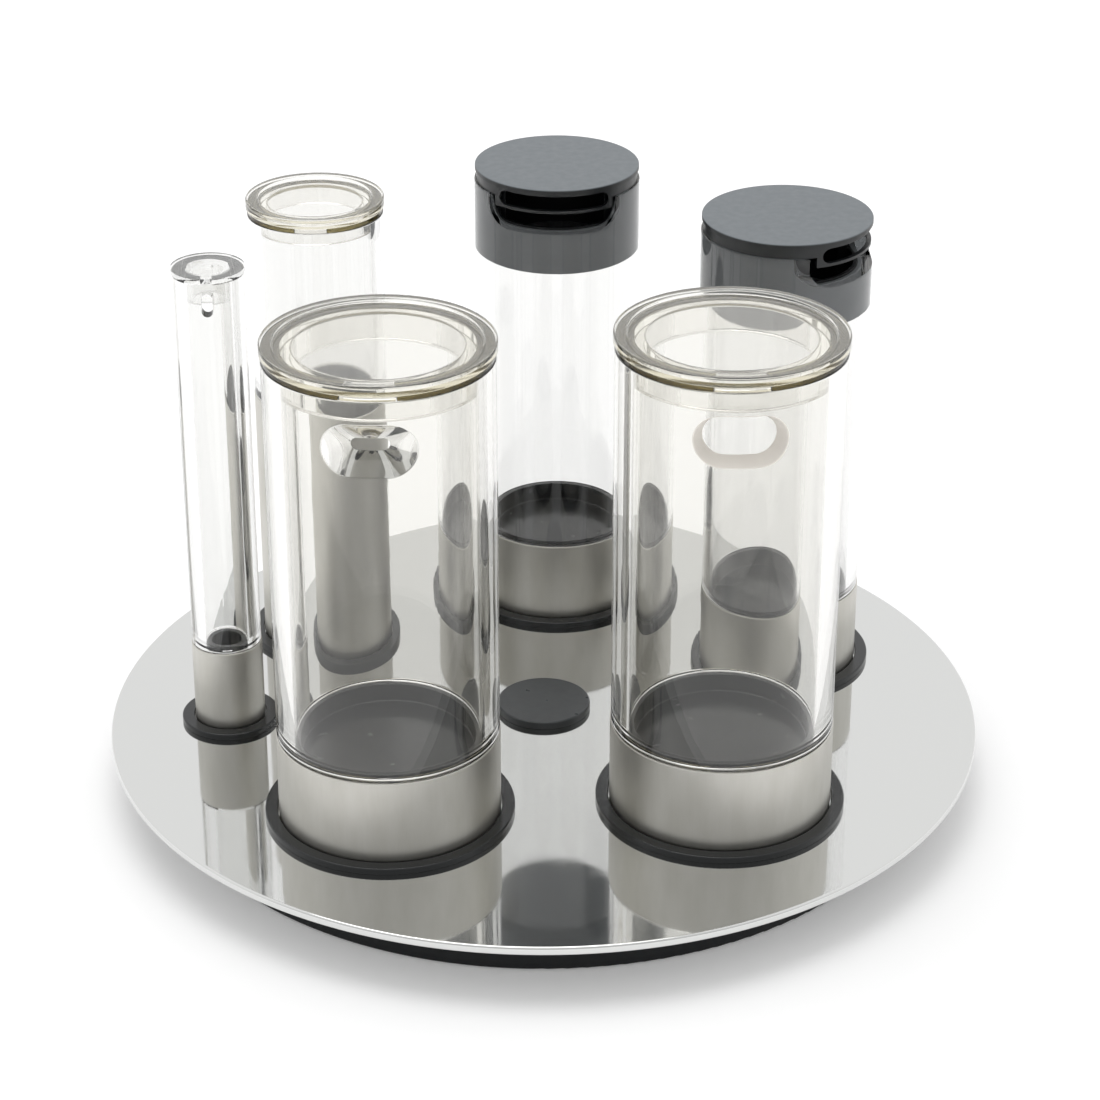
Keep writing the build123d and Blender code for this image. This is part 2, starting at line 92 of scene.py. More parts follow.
def shaded(finish, factor, dark, light):
    """Base colour that runs from dark to light with a factor."""
    mix = finish.node_tree.nodes.new("ShaderNodeMix")
    mix.data_type = "RGBA"
    mix.inputs["A"].default_value = (*dark, 1.0)
    mix.inputs["B"].default_value = (*light, 1.0)
    finish.node_tree.links.new(factor, mix.inputs["Factor"])
    drives(finish, mix.outputs["Result"], "Base Color")


def relief(finish, factor, depth, strength=1.0):
    """Bump of the given depth in metres, laid over any bump that is there already."""
    tree = finish.node_tree
    bump = tree.nodes.new("ShaderNodeBump")
    bump.inputs["Distance"].default_value = depth
    bump.inputs["Strength"].default_value = strength
    tree.links.new(factor, bump.inputs["Height"])
    normal = tree.nodes["Principled BSDF"].inputs["Normal"]
    if normal.is_linked:
        tree.links.new(normal.links[0].from_socket, bump.inputs["Normal"])
    tree.links.new(bump.outputs["Normal"], normal)


def dress(finish, *nodes):
    """Puts a finish on CAD nodes that keep their own shape."""
    for node in nodes:
        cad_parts[node].data.materials[0] = finish


satin = new_finish("satin moulding", base_black, Roughness=0.4, IOR=1.5, Specular_IOR_Level=0.25)
drives(satin, ranged(satin, grain(satin, 0.8 * mm), 0.36, 0.44), "Roughness")
relief(satin, grain(satin, 0.3 * mm), 0.003 * mm)
rubber = new_finish("foot rubber", rubber_black, Roughness=0.75)
drives(rubber, ranged(rubber, grain(rubber, 1.5 * mm), 0.65, 0.85), "Roughness")
dress(satin, "base_housing")
dress(rubber, "rubber_feet")

# ---- bearing and pivot ----
# Two pressed steel races with a nylon cage of balls carry the plate, and a shoulder screw in a nylon
# bush keeps it on its centre. All of it is shut in between the base and the plate.
race_steel = new_finish("race steel", (0.56, 0.56, 0.57), Metallic=1.0, Roughness=0.3)
drives(race_steel, ranged(race_steel, grain(race_steel, 2 * mm), 0.22, 0.4), "Roughness")
ball_steel = new_finish("ball steel", (0.7, 0.7, 0.71), Metallic=1.0, Roughness=0.08)
drives(ball_steel, ranged(ball_steel, grain(ball_steel, 1 * mm), 0.05, 0.12), "Roughness")
nylon = new_finish("cage nylon", (0.74, 0.71, 0.62), Roughness=0.45, Subsurface_Weight=0.1)
drives(nylon, ranged(nylon, grain(nylon, 1.2 * mm), 0.38, 0.55), "Roughness")
dress(race_steel, "lower_race", "upper_race")
dress(ball_steel, "bearing_balls", "pivot_screw")
dress(nylon, "ball_cage", "pivot_bush")

# ---- turning plate ----
# A disc of 2 mm stainless sheet, mirror polished, with its rim rounded over. It turns on the bearing,
# and everything else stands on it. Its polish has faint hair scratches and a very slight waviness.
plate_r, plate_t, plate_hole_r = 103.0, 2.0, 6.0
plate_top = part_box("plate")[1].z
plate_turns = 512


def rounded(corners, radii, bend=4):
    """Closed outline of (radius, height) corners, run with the piece on its left, each turned by an arc.

    An arc starts radius x tan(half the turn) before its corner. Its points are that start, less the old
    side's normal and plus the normal turned part of the way, both times the radius."""
    corner = np.asarray(corners, float)
    size = np.broadcast_to(np.asarray(radii, float), len(corner))
    before = corner - np.roll(corner, 1, 0)
    before /= np.linalg.norm(before, axis=1)[:, None]
    after = np.roll(before, -1, 0)
    turn = np.arctan2(
        before[:, 0] * after[:, 1] - before[:, 1] * after[:, 0], (before * after).sum(1)
    )
    start = corner - before * (size * np.tan(np.abs(turn) / 2))[:, None]
    old = np.stack([before[:, 1], -before[:, 0]], -1)
    angle = np.arctan2(old[:, 1], old[:, 0])[:, None] + turn[:, None] * np.linspace(0, 1, bend + 1)
    normals = np.stack([np.cos(angle), np.sin(angle)], -1)
    points = start[:, None] + (np.sign(turn) * size)[:, None, None] * (normals - old[:, None])
    return points, normals


def to_mesh(name, points, faces, normals):
    """Mesh object in metres from points in millimetres above the plate, with the given normals."""
    mesh = bpy.data.meshes.new(name)
    placed = np.asarray(points, float) * mm + np.array([0.0, 0.0, plate_top])
    mesh.from_pydata(placed.tolist(), [], faces)
    mesh.shade_smooth()
    directions = normals / np.linalg.norm(normals, axis=1)[:, None]
    mesh.normals_split_custom_set_from_vertices(directions.tolist())
    piece = bpy.data.objects.new(name, mesh)
    bpy.context.scene.collection.objects.link(piece)
    return piece


def woven(name, points, normals, solid=False):
    """Closed surface on a grid: rows go round the piece and wrap, columns follow its outline.

    A hollow piece's outline wraps too. A solid piece's outline runs from pole to pole on its axis, and
    each pole is one point with a fan of triangles. The UV map holds the share of the turn and the
    distance along the outline in centimetres."""
    turns, marks = points.shape[:2]
    length = np.linalg.norm(np.diff(points[0], axis=0, append=points[:1, 0]), axis=1)
    along = np.concatenate([[0.0], np.cumsum(length)]) / 10
    share = np.arange(turns + 1) / turns
    if solid:
        index = np.arange(turns * (marks - 2)).reshape(turns, marks - 2)
        spans = marks - 3
    else:
        index = np.arange(turns * marks).reshape(turns, marks)
        index = np.concatenate([index, index[:, :1]], 1)
        spans = marks
    beside = np.roll(index, -1, 0)
    here, there = index[:, :spans + 1], beside[:, :spans + 1]
    quads = np.stack([here[:, :-1], there[:, :-1], there[:, 1:], here[:, 1:]], -1)
    faces = quads.reshape(-1, 4).tolist()
    i, j = np.meshgrid(np.arange(turns), np.arange(spans) + solid, indexing="ij")
    uv = np.stack([share[[i, i + 1, i + 1, i]], along[[j, j, j + 1, j + 1]]], -1)
    uv = uv.transpose(1, 2, 0, 3).reshape(-1, 2)
    if solid:
        low, high = turns * (marks - 2), turns * (marks - 2) + 1
        fan = np.arange(turns)
        faces += np.stack([np.full(turns, low), beside[:, 0], index[:, 0]], -1).tolist()
        faces += np.stack([index[:, -1], beside[:, -1], np.full(turns, high)], -1).tolist()
        first = np.stack([share[[fan, fan + 1, fan]], np.full((3, turns), along[0])], -1)
        last = np.stack([share[[fan, fan + 1, fan]], np.full((3, turns), along[marks - 1])], -1)
        fans = [corner.transpose(1, 0, 2).reshape(-1, 2) for corner in (first, last)]
        uv = np.concatenate([uv, *fans])
        points = np.concatenate([points[:, 1:-1].reshape(-1, 3), points[0, [0, -1]]])
        normals = np.concatenate([normals[:, 1:-1].reshape(-1, 3), normals[0, [0, -1]]])
    piece = to_mesh(name, points.reshape(-1, 3), faces, normals.reshape(-1, 3))
    piece.data.uv_layers.new(name="wrap").data.foreach_set("uv", uv.astype(np.float32).ravel())
    return piece


def spun(at, angle, outline):
    """Points of (radius, height) outlines at angles round an upright axis: (x + r cos a, y + r sin a, z)."""
    r, z = np.broadcast_arrays(outline[..., 0], outline[..., 1])
    return np.stack([at[0] + r * np.cos(angle), at[1] + r * np.sin(angle), z + 0 * angle], -1)


def turned(name, at, corners, radii, turns=256, solid=False, bend=4):
    """Surface of revolution of a rounded outline. A solid one starts and ends on its axis."""
    outline, normal = rounded(corners, radii, bend)
    if solid:
        outline = np.concatenate([[corners[0]], outline[1:-1].reshape(-1, 2), [corners[-1]]])
        normal = np.concatenate([[(0, -1)], normal[1:-1].reshape(-1, 2), [(0, 1)]])
    outline, normal = outline.reshape(1, -1, 2), normal.reshape(1, -1, 2)
    angle = np.arange(turns)[:, None] * 2 * np.pi / turns
    return woven(name, spun(at, angle, outline), spun((0, 0), angle, normal), solid)


def stands_for(piece, finish, body, slot, *nodes):
    """Gives a piece its finish and the body it rides on, and hides the nodes it replaces. The slot is not
    used.
    """
    piece.data.materials.append(finish)
    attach(piece, body)
    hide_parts(*nodes)
    return piece


mirror = new_finish("mirror steel", (0.71, 0.715, 0.705), Metallic=1.0, Roughness=0.045)
drives(mirror, ranged(mirror, grain(mirror, 6 * mm, detail=6), 0.03, 0.075), "Roughness")
relief(mirror, grain(mirror, 22 * mm, detail=0), 0.02 * mm)
plate = turned(
    "plate_polished",
    (0, 0),
    [(plate_hole_r, -plate_t), (plate_r, -plate_t), (plate_r, 0), (plate_hole_r, 0)],
    [0.05, 0.5, 0.6, 0.05],
    plate_turns,
    bend=8,
)
stands_for(plate, mirror, "platter", "polished_steel", "plate")

# ---- centre cap ----
# A low black moulded button covers the pivot screw in the middle of the plate. It is satin on top
# with a rounded edge that catches the light.
cap_r, cap_h, cap_hollow_r, cap_hollow_h = 11.1, 1.85, 7.0, 1.3
button_black = (0.038, 0.042, 0.044)

button = new_finish("button satin", button_black, Roughness=0.36, IOR=1.5)
drives(button, ranged(button, grain(button, 2.5 * mm, detail=5), 0.27, 0.42), "Roughness")
relief(button, grain(button, 0.4 * mm), 0.002 * mm)
centre_cap = turned(
    "centre_button",
    (0, 0),
    [
        (0, cap_hollow_h), (cap_hollow_r, cap_hollow_h), (cap_hollow_r, 0),
        (cap_r, 0), (cap_r, cap_h), (0, cap_h),
    ],
    [0, 0.1, 0.1, 0.12, 0.5, 0],
    192,
    solid=True,
)
stands_for(centre_cap, button, "platter", "black_satin", "centre_cap")

# ---- holder rings ----
# Six black moulded rings are fixed on the plate, one for each container. Each has a rounded top edge
# and stands a hair away from the steel cup that sits in it.
tube_r = {
    "jar_left": 25.0,
    "jar_right": 25.0,
    "canister": 16.0,
    "slim": 8.1,
    "shaker_centre": 20.0,
    "shaker_right": 20.0,
}
cup_lap, ring_gap, ring_reach, ring_h = 0.15, 0.25, 3.15, 1.5


def middle(node):
    """Where a CAD node's upright axis stands, in millimetres."""
    low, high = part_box(node)
    return ((low.x + high.x) / 2 / mm, (low.y + high.y) / 2 / mm)


mould_black = (0.009, 0.0105, 0.0115)
ring_black = new_finish("ring moulding", mould_black, Roughness=0.2, IOR=1.5)
drives(ring_black, ranged(ring_black, grain(ring_black, 3 * mm, detail=5), 0.16, 0.26), "Roughness")
relief(ring_black, grain(ring_black, 0.5 * mm), 0.001 * mm)
for place, r in tube_r.items():
    inner, outer = r + cup_lap + ring_gap, r + cup_lap + ring_reach
    ring = turned(
        f"{place}_ring",
        middle(f"{place}_holder"),
        [(inner, 0), (outer, 0), (outer, ring_h), (inner, ring_h)],
        [0.08, 0.12, 0.35, 0.3],
    )
    stands_for(ring, ring_black, "platter", "black_satin", f"{place}_holder")

# ---- steel cups ----
# Each container's foot is a drawn stainless cup, brushed up and down, with a rolled bottom edge. The
# canister's is a tall sleeve that covers half of its tube.
cup_wall, cup_h, sleeve_h, cup_floor = 0.9, 21.2, 66.0, 0.05

brushed = new_finish("brushed steel", (0.6, 0.59, 0.55), Metallic=1.0, Roughness=0.4, Anisotropic=0.5)
streaks = grain(brushed, 0.16 * mm, (1, 1, 60), detail=4)
patches = grain(brushed, 5 * mm, (1, 1, 3), detail=4)
drives(brushed, ranged(brushed, streaks, 0.36, 0.46), "Roughness")
shaded(brushed, ranged(brushed, patches, 0, 1), (0.56, 0.548, 0.505), (0.62, 0.608, 0.57))
relief(brushed, streaks, 0.004 * mm)
around = brushed.node_tree.nodes.new("ShaderNodeTangent")
around.direction_type = "UV_MAP"
around.uv_map = "wrap"
drives(brushed, around.outputs["Tangent"], "Tangent")
for place, r in tube_r.items():
    outer, inner = r + cup_lap, r + cup_lap - cup_wall
    top = sleeve_h if place == "canister" else cup_h
    floor = cup_floor + cup_wall
    cup = turned(
        f"{place}_steel",
        middle(f"{place}_cup"),
        [(0, cup_floor), (outer, cup_floor), (outer, top), (inner, top), (inner, floor), (0, floor)],
        [0, 0.8, 0.25, 0.25, 0.3, 0],
        solid=True,
    )
    stands_for(cup, brushed, place, "brushed_steel", f"{place}_cup")

# ---- inserts ----
# A glossy black moulding fills each cup. Its floor closes the tube from below, and a low spigot
# centres the tube's bore.
bore_r = {
    "jar_left": 21.0,
    "jar_right": 21.0,
    "canister": 13.0,
    "slim": 4.9,
    "shaker_centre": 17.5,
    "shaker_right": 17.5,
}
insert_floor, insert_web, insert_wall, spigot_h, spigot_w, fit = 17.6, 2.0, 2.0, 0.8, 1.3, 0.08

insert_black = (0.05, 0.052, 0.054)
glossy = new_finish("glossy moulding", insert_black, Roughness=0.2, IOR=1.5)
drives(glossy, ranged(glossy, grain(glossy, 4 * mm, detail=6), 0.14, 0.28), "Roughness")
for place, r in tube_r.items():
    outer, spigot, foot = r + cup_lap - cup_wall, bore_r[place] - fit, cup_floor + cup_wall
    rim, web = spigot - spigot_w, insert_floor - insert_web
    insert = turned(
        f"{place}_floor",
        middle(f"{place}_insert"),
        [
            (0, web), (outer - insert_wall, web), (outer - insert_wall, foot), (outer, foot),
            (outer, cup_h), (spigot, cup_h), (spigot, cup_h + spigot_h), (rim, cup_h + spigot_h),
            (rim, insert_floor), (0, insert_floor),
        ],
        [0, 0.2, 0.1, 0.1, 0.08, 0.05, 0.15, 0.2, 0.35, 0],
        192,
        solid=True,
    )
    stands_for(insert, glossy, place, "black_gloss", f"{place}_insert")

# ---- jar tubes ----
# The two wide jars are lengths of clear acrylic tube with polished ends, 4 mm thick. A countersunk
# oblong pour hole goes through the front of each, a small one on the left and a wide one on the right.
tube_bottom, tube_top, tube_edge = 21.25, 111.6, 0.3
hole_z = 100.5
pour_holes = {
    "jar_left": (-92.5, (10.1, 6.0), (4.0, 1.3)),
    "jar_right": (-87.7, (9.9, 5.8), (7.7, 4.4)),
}
jar_turns, window_half, window_low, window_high, window_step = 240, 19, 90.5, 109.7, 0.8


def soaks(finish, density, colour):
    """Light fades inside the piece: its loss per metre is density times one less the colour."""
    soak = finish.node_tree.nodes.new("ShaderNodeVolumeAbsorption")
    soak.inputs["Density"].default_value = density
    soak.inputs["Color"].default_value = (*colour, 1.0)
    out = finish.node_tree.nodes["Material Output"]
    finish.node_tree.links.new(soak.outputs["Volume"], out.inputs["Volume"])


def clear_acrylic(name, tint, wear):
    """Clear acrylic: a faint tint, and wear as sparse hair scratches that are rougher and dented."""
    finish = new_finish(name, tint, Roughness=0.0, IOR=1.49, Transmission_Weight=1.0)
    scratches = grain(finish, 0.35 * mm, (1, 1, 14), detail=2)
    drives(finish, ranged(finish, scratches, 0.0, wear, 0.66, 0.8), "Roughness")
    relief(finish, scratches, 0.002 * mm, 0.5)
    return finish


def oblong(x, z, half_w, half_h):
    """Where rays from the middle through (x, z) meet an oblong with round ends."""
    steep = np.maximum(np.abs(z), 1e-9)
    flat = np.abs(x) / steep * half_h <= half_w - half_h
    size = np.hypot(x, z)
    c, s = np.abs(x) / size, np.abs(z) / size
    end = half_w - half_h
    reach = c * end + np.sqrt(np.maximum(half_h**2 - (s * end) ** 2, 0))
    reach = np.where(flat, half_h / np.maximum(s, 1e-9), reach)
    return x / size * reach, z / size * reach


def on_tube(at, facing, r, x, z):
    """Points on an upright cylinder from the sideways place x, seen from its front, and the height z."""
    angle = facing + np.arcsin(x / r)
    return np.stack([at[0] + r * np.cos(angle), at[1] + r * np.sin(angle), z], -1)


def unit(v):
    """Directions with length 1."""
    return v / np.linalg.norm(v, axis=-1, keepdims=True)


def pierced_tube(name, at, facing, outer, inner, hole_out, hole_in):
    """Tube with an oblong hole: a grid of both walls with a window left out, closed by rings of points.

    The rings run along rays from the hole's middle, from the window's edge on the outer wall to the
    hole's outline, through the wall and out to the window's edge on the inner wall. The hole's two
    rims are eased by a parabola whose middle control point is the sharp edge. The hole's faces take
    the piece's second finish."""
    rows = np.arange(window_low, window_high + window_step / 2, window_step)
    walls = np.concatenate([np.linspace(tube_bottom + tube_edge, window_low, 9)[:-1], rows,
                            np.linspace(window_high, tube_top - tube_edge, 3)[1:]])
    count = len(walls)
    ends = np.array([[inner + tube_edge, tube_bottom], [outer - tube_edge, tube_bottom]])
    tops = np.array([[outer - tube_edge, tube_top], [inner + tube_edge, tube_top]])
    outline = np.concatenate([
        ends, np.stack([np.full(count, outer), walls], -1),
        tops, np.stack([np.full(count, inner), walls[::-1]], -1),
    ])
    bevel = math.sqrt(0.5)
    side = np.concatenate([
        [(-bevel / 2, -1), (bevel / 2, -1)], np.tile([(1.0, 0.0)], (count, 1)),
        [(bevel / 2, 1), (-bevel / 2, 1)], np.tile([(-1.0, 0.0)], (count, 1)),
    ])
    angle = (facing + np.arange(jar_turns) * 2 * np.pi / jar_turns)[:, None]
    grid = spun(at, angle, outline[None])
    normal = spun((0, 0), angle, side[None])
    marks = len(outline)
    index = np.arange(jar_turns * marks).reshape(jar_turns, marks)
    beside = np.roll(index, -1, 0)
    quads = np.stack([index, beside, np.roll(beside, -1, 1), np.roll(index, -1, 1)], -1)
    first = int(np.argmin(np.abs(walls - rows[0])))
    last = int(np.argmin(np.abs(walls - rows[-1])))
    kept = np.ones((jar_turns, marks), bool)
    near = np.arange(-window_half, window_half) % jar_turns
    out_low, out_high = 2 + first, 2 + last
    in_low, in_high = 4 + count + (count - 1 - last), 4 + count + (count - 1 - first)
    kept[np.ix_(near, np.arange(out_low, out_high))] = False
    kept[np.ix_(near, np.arange(in_low, in_high))] = False
    across = np.arange(-window_half, window_half + 1)
    up = np.arange(last - first + 1)
    loop_i = np.concatenate([across[:-1], np.full(len(up) - 1, window_half), across[:0:-1],
                             np.full(len(up) - 1, -window_half)])
    loop_j = np.concatenate([np.zeros(len(across) - 1, int), up[:-1],
                             np.full(len(across) - 1, up[-1]), up[:0:-1]])
    edge_angle = loop_i * 2 * np.pi / jar_turns
    edge_z = rows[0] + (rows[-1] - rows[0]) * loop_j / up[-1] - hole_z
    edge_out, edge_in = outer * np.sin(edge_angle), inner * np.sin(edge_angle)
    rim_out = oblong(edge_out, edge_z, *hole_out)
    rim_in = oblong(edge_out, edge_z, *hole_in)
    ease = 0.22
    shares = np.array([0.78, 0.58, 0.4, 0.25, 0.13, 0.05])[:, None]
    lip = ease / np.hypot(edge_out - rim_out[0], edge_z - rim_out[1])
    lip_in = ease / np.hypot(edge_in - rim_in[0], edge_z - rim_in[1])
    steps_out = np.concatenate([lip + (1 - lip) * shares, lip[None]])
    steps_in = np.concatenate([lip_in[None], lip_in + (1 - lip_in) * shares[::-1]])
    rings_out = on_tube(at, facing, outer, rim_out[0] + steps_out * (edge_out - rim_out[0]),
                        hole_z + rim_out[1] + steps_out * (edge_z - rim_out[1]))
    rings_in = on_tube(at, facing, inner, rim_in[0] + steps_in * (edge_in - rim_in[0]),
                       hole_z + rim_in[1] + steps_in * (edge_z - rim_in[1]))
    sharp_out = on_tube(at, facing, outer, rim_out[0], hole_z + rim_out[1])
    sharp_in = on_tube(at, facing, inner, rim_in[0], hole_z + rim_in[1])
    through = unit(sharp_in - sharp_out)
    tangent = unit(np.roll(sharp_out, -1, 0) - np.roll(sharp_out, 1, 0))
    face = unit(np.cross(through, tangent))
    centre_out = on_tube(at, facing, outer, np.zeros(1), np.array([hole_z]))
    face *= np.sign((face * (centre_out - sharp_out)).sum(-1, keepdims=True))
    share = np.linspace(0, 1, 5)[1:, None, None]
    enter = (1 - share) ** 2 * rings_out[-1] + 2 * share * (1 - share) * sharp_out
    enter = enter + share**2 * (sharp_out + ease * through)
    leave = (1 - share) ** 2 * (sharp_in - ease * through) + 2 * share * (1 - share) * sharp_in
    leave = np.concatenate([(sharp_in - ease * through)[None], (leave + share**2 * rings_in[0])[:-1]])
    axis = np.array([at[0], at[1], 0.0])
    flat = np.array([1.0, 1.0, 0.0])
    away = unit((rings_out - axis) * flat)
    toward = -unit((rings_in - axis) * flat)
    enter_n = unit((1 - share) * away[-1] + share * face)
    leave_share = np.linspace(0, 1, 5)[:-1, None, None]
    leave_n = unit((1 - leave_share) * face + leave_share * toward[0])
    rings = np.concatenate([rings_out, enter, leave, rings_in])
    ring_n = np.concatenate([away, enter_n, leave_n, toward])
    base, loops = jar_turns * marks, len(loop_i)
    ring_index = base + np.arange(len(rings) * loops).reshape(len(rings), loops)
    mouth_out = index[loop_i % jar_turns, out_low + loop_j]
    mouth_in = index[loop_i % jar_turns, in_high - loop_j]
    chain = np.concatenate([mouth_out[None], ring_index, mouth_in[None]])
    ahead = np.roll(chain, -1, 1)
    strip = np.stack([chain[:-1], ahead[:-1], ahead[1:], chain[1:]], -1).reshape(-1, 4)
    faces = quads[kept].tolist() + strip.tolist()
    points = np.concatenate([grid.reshape(-1, 3), rings.reshape(-1, 3)])
    normals = np.concatenate([normal.reshape(-1, 3), ring_n.reshape(-1, 3)])
    used = np.zeros(len(points), bool)
    used[np.concatenate([quads[kept].ravel(), strip.ravel()])] = True
    renumber = np.cumsum(used) - 1
    faces = renumber[np.array(faces)].tolist()
    band = np.zeros(len(faces), np.int32)
    mouth = int(kept.sum()) + len(rings_out) * loops
    band[mouth:mouth + (len(enter) + len(leave) + 1) * loops] = 1
    tube = to_mesh(name, points[used], faces, normals[used])
    tube.data.polygons.foreach_set("material_index", band)
    return tube


jar_acrylic = clear_acrylic("jar acrylic", (0.91, 0.905, 0.885), 0.12)
milled = new_finish("milled acrylic", (0.93, 0.885, 0.82), Roughness=0.5, IOR=1.49, Transmission_Weight=0.15)
drives(milled, ranged(milled, grain(milled, 0.3 * mm), 0.4, 0.6), "Roughness")
for place, (facing, hole_out, hole_in) in pour_holes.items():
    at = middle(f"{place}_tube")
    tube = pierced_tube(
        f"{place}_clear", at, math.radians(facing), tube_r[place], bore_r[place], hole_out, hole_in
    )
    stands_for(tube, jar_acrylic, place, "clear_acrylic", f"{place}_tube")
    tube.data.materials.append(milled if place == "jar_right" else jar_acrylic)

# ---- canister tube ----
# The canister is a narrower clear tube. Below the sleeve's top it is turned down so that the sleeve
# slides over it.
turned_gap, canister_turns = 0.05, 224

fine_acrylic = clear_acrylic("fine acrylic", (0.915, 0.915, 0.908), 0.08)
r, step_r = tube_r["canister"], tube_r["canister"] + cup_lap - cup_wall - turned_gap
step_z = sleeve_h + turned_gap
canister_tube = turned(
    "canister_clear",
    middle("canister_tube"),
    [
        (bore_r["canister"], tube_bottom), (step_r, tube_bottom), (step_r, step_z), (r, step_z),
        (r, tube_top), (bore_r["canister"], tube_top),
    ],
    [0.12, 0.12, 0.04, 0.12, 0.25, 0.25],
    canister_turns,
)
stands_for(canister_tube, fine_acrylic, "canister", "clear_acrylic", "canister_tube")

# ---- notched tubes ----
# The slim tube has a narrow closed slot near its top. The two shakers have a wide pouring notch at the
# front of the rim. A slate black moulded chamber with the same notch fills the bore behind it and lifts
# out with the spout; its thin wall presses on the tube, and a floor disc closes it.
shaker_fronts = {"shaker_centre": -94.5, "shaker_right": -30.0}
notch_half_w, notch_low, notch_corner, rim_corner = 14.9, 104.1, 4.6, 0.3
notched_edge, chamber_edge = 0.25, 0.12
chamber_r, chamber_bore_r, chamber_low = 17.52, 16.55, 93.5
notch_turns, side_rows, foot_rows, back_turns = 12, 6, 22, 120
front_share = 0.42 * np.pi
chamber_floor_r, chamber_floor_low, chamber_floor_high, gate_r, gate_t = 16.9, 93.48, 94.65, 0.9, 0.15


def notched_tube(name, at, facing, outer, inner, low_z, edge):
    """Tube whose rim dips into a notch with straight sides and round corners.

    The rim is a path of sideways places and heights; each column of the surface goes from an evenly
    spaced place on the bottom up the outer wall to the path, over the rim and down the inner wall.
    Both walls reach the path where the sideways place meets their own radius."""
    beyond, above = 3 * notch_half_w, tube_top + 30
    path, lean = rounded(
        [
            (-notch_half_w, notch_low), (notch_half_w, notch_low), (notch_half_w, tube_top),
            (beyond, tube_top), (beyond, above), (-beyond, above), (-beyond, tube_top),
            (-notch_half_w, tube_top),
        ],
        [notch_corner, notch_corner, rim_corner, 0.1, 0.1, 0.1, 0.1, rim_corner],
        notch_turns,
    )
    side_z = np.linspace(tube_top - rim_corner, notch_low + notch_corner, side_rows + 2)[1:-1]
    left = np.stack([np.full(side_rows, -notch_half_w), side_z], -1)
    foot_half = notch_half_w - notch_corner
    foot_x = np.linspace(-foot_half, foot_half, foot_rows + 2)[1:-1]
    foot = np.stack([foot_x, np.full(foot_rows, notch_low)], -1)
    parts = [path[7], left, path[0], foot, path[1], left[::-1] * (-1, 1), path[2]]
    leans = [
        -lean[7], np.tile([1.0, 0.0], (side_rows, 1)), -lean[0], np.tile([0.0, 1.0], (foot_rows, 1)),
        -lean[1], np.tile([-1.0, 0.0], (side_rows, 1)), -lean[2],
    ]
    front, front_n = np.concatenate(parts), np.concatenate(leans)

    def rim_angles(r):
        near = np.arcsin(front[:, 0] / r)
        far = np.linspace(near[-1], 2 * np.pi + near[0], back_turns + 2)[1:-1]
        return np.concatenate([near, far])

    rim_z = np.concatenate([front[:, 1], np.full(back_turns, tube_top)])
    rim_n = np.concatenate([front_n, np.tile([0.0, 1.0], (back_turns, 1))])
    count = len(rim_z)
    out_a, in_a = rim_angles(outer), rim_angles(inner)
    back_step = 2 * (np.pi - front_share) / back_turns
    foot_a = np.interp(
        np.arange(count), [0, (len(front) - 1) / 2, len(front) - 1, count - 1],
        [-front_share, 0, front_share, 2 * np.pi - front_share - back_step],
    )
    sideways = np.array([-math.sin(facing), math.cos(facing), 0.0])
    upward = np.array([0.0, 0.0, 1.0])
    rim_normal = rim_n[:, :1] * sideways + rim_n[:, 1:] * upward

    def wall(r, rim_a, share):
        ease = share**3
        a = foot_a + (rim_a - foot_a) * ease
        z = low_z + edge + (rim_z - low_z - edge) * share
        spot = np.stack([at[0] + r * np.cos(facing + a), at[1] + r * np.sin(facing + a), z], -1)
        return spot, np.stack([np.cos(facing + a), np.sin(facing + a), 0 * a], -1)

    shares = np.array([0, 0.15, 0.3, 0.45, 0.58, 0.68, 0.76, 0.83, 0.88, 0.92, 0.95, 0.975, 0.99])
    outs = [wall(outer, out_a, s) for s in shares]
    ins = [wall(inner, in_a, s) for s in shares]
    sharp_out, radial_out = wall(outer, out_a, 1.0)
    sharp_in, radial_in = wall(inner, in_a, 1.0)
    over = unit(sharp_in - sharp_out)

    def down(sharp, radial):
        along = unit(np.roll(sharp, -1, 0) - np.roll(sharp, 1, 0))
        way = unit(np.cross(radial, along))
        return way * np.sign((way * -rim_normal).sum(-1, keepdims=True) + 1e-9)

    out_down, in_down = down(sharp_out, radial_out), down(sharp_in, radial_in)
    bend = np.linspace(0, 1, 5)

    def eased(a, sharp, b, n_a, n_b):
        spots = [(1 - t) ** 2 * a + 2 * t * (1 - t) * sharp + t**2 * b for t in bend]
        ways = [unit((1 - t) * n_a + t * n_b + 1e-9) for t in bend]
        return spots, ways

    def bottom(r):
        low = np.full(count, low_z)
        return np.stack([at[0] + r * np.cos(facing + foot_a), at[1] + r * np.sin(facing + foot_a), low], -1)

    over_out = eased(sharp_out + edge * out_down, sharp_out, sharp_out + edge * over, radial_out, rim_normal)
    over_in = eased(sharp_in - edge * over, sharp_in, sharp_in + edge * in_down, rim_normal, -radial_in)
    columns = [bottom(inner + edge), bottom(outer - edge)]
    ways = [np.tile(-upward, (count, 1))] * 2
    columns += [o[0] for o in outs] + over_out[0] + over_in[0] + [i[0] for i in ins[::-1]]
    ways += [o[1] for o in outs] + over_out[1] + over_in[1] + [-i[1] for i in ins[::-1]]
    return woven(name, np.stack(columns, 1), np.stack(ways, 1))


